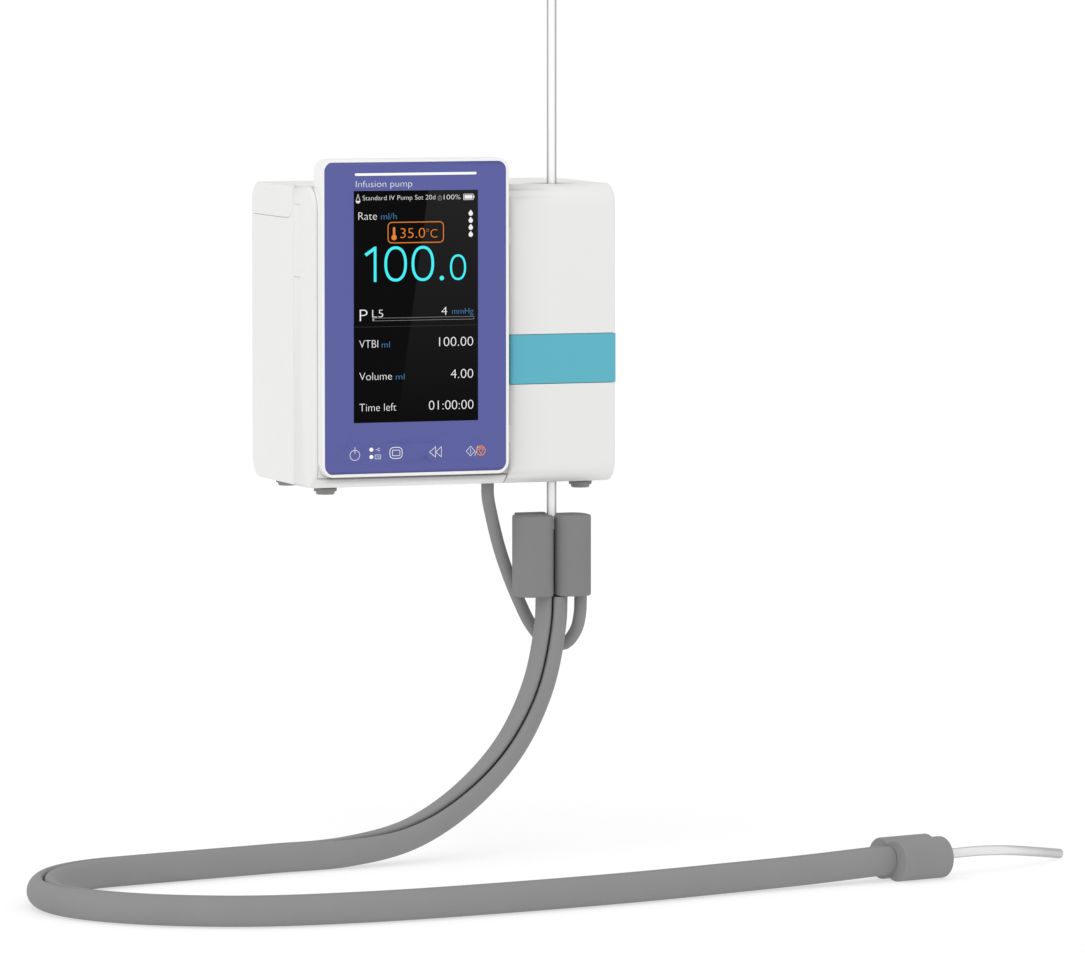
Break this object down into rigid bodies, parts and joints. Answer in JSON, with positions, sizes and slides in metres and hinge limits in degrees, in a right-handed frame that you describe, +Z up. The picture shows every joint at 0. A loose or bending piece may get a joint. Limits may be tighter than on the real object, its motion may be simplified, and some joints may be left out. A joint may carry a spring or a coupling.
{
  "type": "infusion pump with fluid warmer",
  "caption": "Pole-mounted infusion pump with a touch display, a tube door, a carry handle, a screw clamp and a heated sleeve that warms the fluid line.",
  "frame": {"origin": "middle of the pole seat, the flat rear face of the clamp's base plate between its jaws", "axes": "+Z up, -Y towards the user in front of the display, +X to the right seen from the front"},
  "size_m": [0.4502, 0.3163, 0.4326],
  "materials": {
    "white_plastic": "satin",
    "blue_panel": "gloss",
    "black_glass": "gloss",
    "teal_plastic": "satin",
    "grey_foam": "matt",
    "grey_rubber": "matt",
    "dark_plastic": "matt",
    "clear_tube": "gloss",
    "white_light": "gloss",
    "steel": "satin",
    "aluminium": "satin",
    "circuit_board": "matt",
    "battery_wrap": "satin"
  },
  "bodies": {
    "pump": {"rear_housing": "white_plastic", "front_housing": "white_plastic", "display_bezel": "white_plastic", "pump_face_plate": "white_plastic", "bag_spike": "white_plastic", "front_panel": "blue_panel", "lcd_screen": "black_glass", "warmer_block": "grey_foam", "sleeve_end_clip": "grey_foam", "warmer_sleeve": "grey_foam", "heater_cable": "grey_foam", "foot_front_left": "grey_rubber", "foot_front_right": "grey_rubber", "foot_rear_left": "grey_rubber", "foot_rear_right": "grey_rubber", "cable_gland": "grey_rubber", "mains_inlet": "dark_plastic", "speaker": "dark_plastic", "bubble_sensor": "dark_plastic", "pressure_sensor": "dark_plastic", "iv_tube": "clear_tube", "iv_tube_outlet": "clear_tube", "drip_chamber": "clear_tube", "alarm_bar": "white_light", "led_mains": "white_light", "led_battery": "white_light", "hinge_bracket_upper": "steel", "hinge_bracket_lower": "steel", "drive_motor": "steel", "mechanism_frame": "aluminium", "clamp_body": "aluminium", "power_supply": "aluminium", "main_board": "circuit_board", "display_board": "circuit_board", "battery_pack": "battery_wrap"},
    "handle": {"carry_handle": "white_plastic"},
    "port_cover": {"side_port_cover": "white_plastic"},
    "door": {"door_shell": "white_plastic", "door_liner": "white_plastic", "hinge_pin_upper": "steel", "hinge_pin_lower": "steel"},
    "pressure_plate": {"pressure_plate": "steel"},
    "lever": {"door_lever": "teal_plastic"},
    "hook": {"latch_hook": "steel"},
    "camshaft": {"camshaft": "steel", "cam_gear": "white_plastic"},
    "motor_rotor": {"motor_pinion": "steel"},
    "clamp_pad": {"clamp_pad": "grey_rubber"},
    "clamp_knob": {"clamp_screw": "dark_plastic"},
    "key_power": {"button_power": "blue_panel"},
    "key_menu": {"button_menu": "blue_panel"},
    "key_bolus": {"button_bolus": "blue_panel"},
    "key_start_stop": {"button_start_stop": "blue_panel"},
    "finger_1": {"finger_1": "dark_plastic"},
    "finger_2": {"finger_2": "dark_plastic"},
    "finger_3": {"finger_3": "dark_plastic"},
    "finger_4": {"finger_4": "dark_plastic"},
    "finger_5": {"finger_5": "dark_plastic"},
    "finger_6": {"finger_6": "dark_plastic"}
  },
  "joints": [
    {"name": "handle_lift", "type": "hinge", "parent": "pump", "child": "handle", "pos_m": [0, -0.0626, 0.0553], "axis": [1, 0, 0], "range_deg": [0, 90]},
    {"name": "port_cover_open", "type": "hinge", "parent": "pump", "child": "port_cover", "pos_m": [-0.0659, -0.0746, 0.0544], "axis": [0, 1, 0], "range_deg": [0, 100]},
    {"name": "door_open", "type": "hinge", "parent": "pump", "child": "door", "pos_m": [0.0221, -0.0933, 0], "axis": [0, 0, -1], "range_deg": [0, 78]},
    {"name": "plate_spring", "type": "slide", "parent": "door", "child": "pressure_plate", "axis": [0, -1, 0], "range_m": [0, 0.001], "stiffness_N_per_m": 2000},
    {"name": "lever_pull", "type": "hinge", "parent": "door", "child": "lever", "pos_m": [0.0218, -0.0945, -0.0102], "axis": [0, 0, -1], "range_deg": [0, 18]},
    {"name": "hook_release", "type": "hinge", "parent": "door", "child": "hook", "pos_m": [0.0542, -0.0894, -0.01], "axis": [0, 0, -1], "range_deg": [0, 18]},
    {"name": "camshaft_turn", "type": "hinge", "parent": "pump", "child": "camshaft", "pos_m": [0.0418, -0.055, -0.003], "axis": [0, 0, 1], "continuous": true},
    {"name": "motor_turn", "type": "hinge", "parent": "pump", "child": "motor_rotor", "pos_m": [0.0418, -0.0382, -0.0216], "axis": [0, 0, 1], "continuous": true},
    {"name": "clamp_travel", "type": "slide", "parent": "pump", "child": "clamp_pad", "axis": [-1, 0, 0], "range_m": [0, 0.014]},
    {"name": "knob_turn", "type": "hinge", "parent": "clamp_pad", "child": "clamp_knob", "pos_m": [0.052, 0.022, 0], "axis": [1, 0, 0], "range_deg": [0, 1260]},
    {"name": "press_power", "type": "slide", "parent": "pump", "child": "key_power", "axis": [0, 1, 0], "range_m": [0, 0.0006], "stiffness_N_per_m": 800},
    {"name": "press_menu", "type": "slide", "parent": "pump", "child": "key_menu", "axis": [0, 1, 0], "range_m": [0, 0.0006], "stiffness_N_per_m": 800},
    {"name": "press_bolus", "type": "slide", "parent": "pump", "child": "key_bolus", "axis": [0, 1, 0], "range_m": [0, 0.0006], "stiffness_N_per_m": 800},
    {"name": "press_start_stop", "type": "slide", "parent": "pump", "child": "key_start_stop", "axis": [0, 1, 0], "range_m": [0, 0.0006], "stiffness_N_per_m": 800},
    {"name": "finger_1_stroke", "type": "slide", "parent": "pump", "child": "finger_1", "axis": [0, 1, 0], "range_m": [0, 0.002], "stiffness_N_per_m": 300},
    {"name": "finger_2_stroke", "type": "slide", "parent": "pump", "child": "finger_2", "axis": [0, 1, 0], "range_m": [0, 0.002], "stiffness_N_per_m": 300},
    {"name": "finger_3_stroke", "type": "slide", "parent": "pump", "child": "finger_3", "axis": [0, 1, 0], "range_m": [0, 0.002], "stiffness_N_per_m": 300},
    {"name": "finger_4_stroke", "type": "slide", "parent": "pump", "child": "finger_4", "axis": [0, 1, 0], "range_m": [0, 0.002], "stiffness_N_per_m": 300},
    {"name": "finger_5_stroke", "type": "slide", "parent": "pump", "child": "finger_5", "axis": [0, 1, 0], "range_m": [0, 0.002], "stiffness_N_per_m": 300},
    {"name": "finger_6_stroke", "type": "slide", "parent": "pump", "child": "finger_6", "axis": [0, 1, 0], "range_m": [0, 0.002], "stiffness_N_per_m": 300}
  ],
  "couplings": [
    {"joint": "hook_release", "follows": "lever_pull", "ratio": 1},
    {"joint": "motor_turn", "follows": "camshaft_turn", "ratio": -3},
    {"joint": "knob_turn", "follows": "clamp_travel", "rad_per_m": 1570.8}
  ]
}
